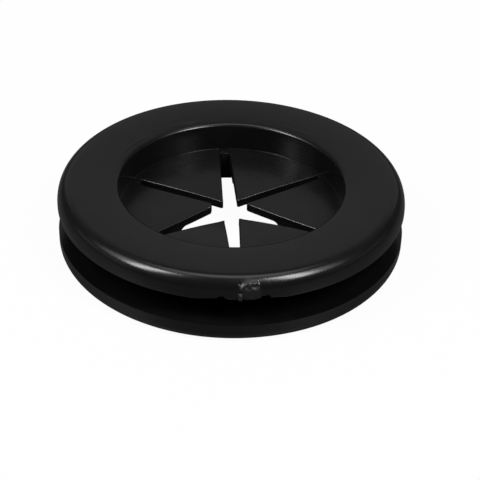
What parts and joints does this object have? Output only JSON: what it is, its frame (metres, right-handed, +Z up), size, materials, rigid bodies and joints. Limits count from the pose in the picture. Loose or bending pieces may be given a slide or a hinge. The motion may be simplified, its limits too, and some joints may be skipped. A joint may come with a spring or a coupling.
{
  "type": "desk grommet",
  "caption": "Round black rubber desk grommet: a flanged ring with a panel groove, its cable hole closed by soft slit leaves that bend and spring back.",
  "frame": {"origin": "on the ring's axis, at the underside of the lower flange", "axes": "+Z up along the ring's axis, towards the upper flange; -Y faces the viewer of the picture"},
  "size_m": [0.04, 0.04, 0.008],
  "materials": {
    "flange_rubber": "satin black moulded rubber, faint mottled skin",
    "neck_rubber": "dull black moulded rubber",
    "leaf_rubber": "satin black moulded rubber with cut edges"
  },
  "bodies": {
    "ring": {"upper_flange": "flange_rubber", "neck": "neck_rubber", "lower_flange": "flange_rubber", "hinge_web_1": "neck_rubber", "hinge_web_2": "neck_rubber", "hinge_web_3": "neck_rubber", "hinge_web_4": "neck_rubber", "hinge_web_5": "neck_rubber", "hinge_web_6": "neck_rubber"},
    "leaf_1": {"leaf_1": "leaf_rubber"},
    "leaf_2": {"leaf_2": "leaf_rubber"},
    "leaf_3": {"leaf_3": "leaf_rubber"},
    "leaf_4": {"leaf_4": "leaf_rubber"},
    "leaf_5": {"leaf_5": "leaf_rubber"},
    "leaf_6": {"leaf_6": "leaf_rubber"}
  },
  "joints": [
    {"name": "leaf_1_bend", "type": "hinge", "parent": "ring", "child": "leaf_1", "pos_m": [0.01081, 0.00087, 0.0038], "axis": [-0.0802, 0.9968, 0], "range_deg": [-77, 73], "stiffness_Nm_per_rad": 0.002},
    {"name": "leaf_2_bend", "type": "hinge", "parent": "ring", "child": "leaf_2", "pos_m": [0.00465, 0.0098, 0.0038], "axis": [-0.9033, 0.4289, 0], "range_deg": [-73, 77], "stiffness_Nm_per_rad": 0.002},
    {"name": "leaf_3_bend", "type": "hinge", "parent": "ring", "child": "leaf_3", "pos_m": [-0.00616, 0.00893, 0.0038], "axis": [-0.8231, -0.5678, 0], "range_deg": [-71.5, 78.5], "stiffness_Nm_per_rad": 0.002},
    {"name": "leaf_4_bend", "type": "hinge", "parent": "ring", "child": "leaf_4", "pos_m": [-0.01081, -0.00087, 0.0038], "axis": [0.0802, -0.9968, 0], "range_deg": [-75, 75], "stiffness_Nm_per_rad": 0.002},
    {"name": "leaf_5_bend", "type": "hinge", "parent": "ring", "child": "leaf_5", "pos_m": [-0.00465, -0.0098, 0.0038], "axis": [0.9033, -0.4289, 0], "range_deg": [-67.5, 82.5], "stiffness_Nm_per_rad": 0.002},
    {"name": "leaf_6_bend", "type": "hinge", "parent": "ring", "child": "leaf_6", "pos_m": [0.00616, -0.00893, 0.0038], "axis": [0.8231, 0.5678, 0], "range_deg": [-69.5, 80.5], "stiffness_Nm_per_rad": 0.002}
  ]
}
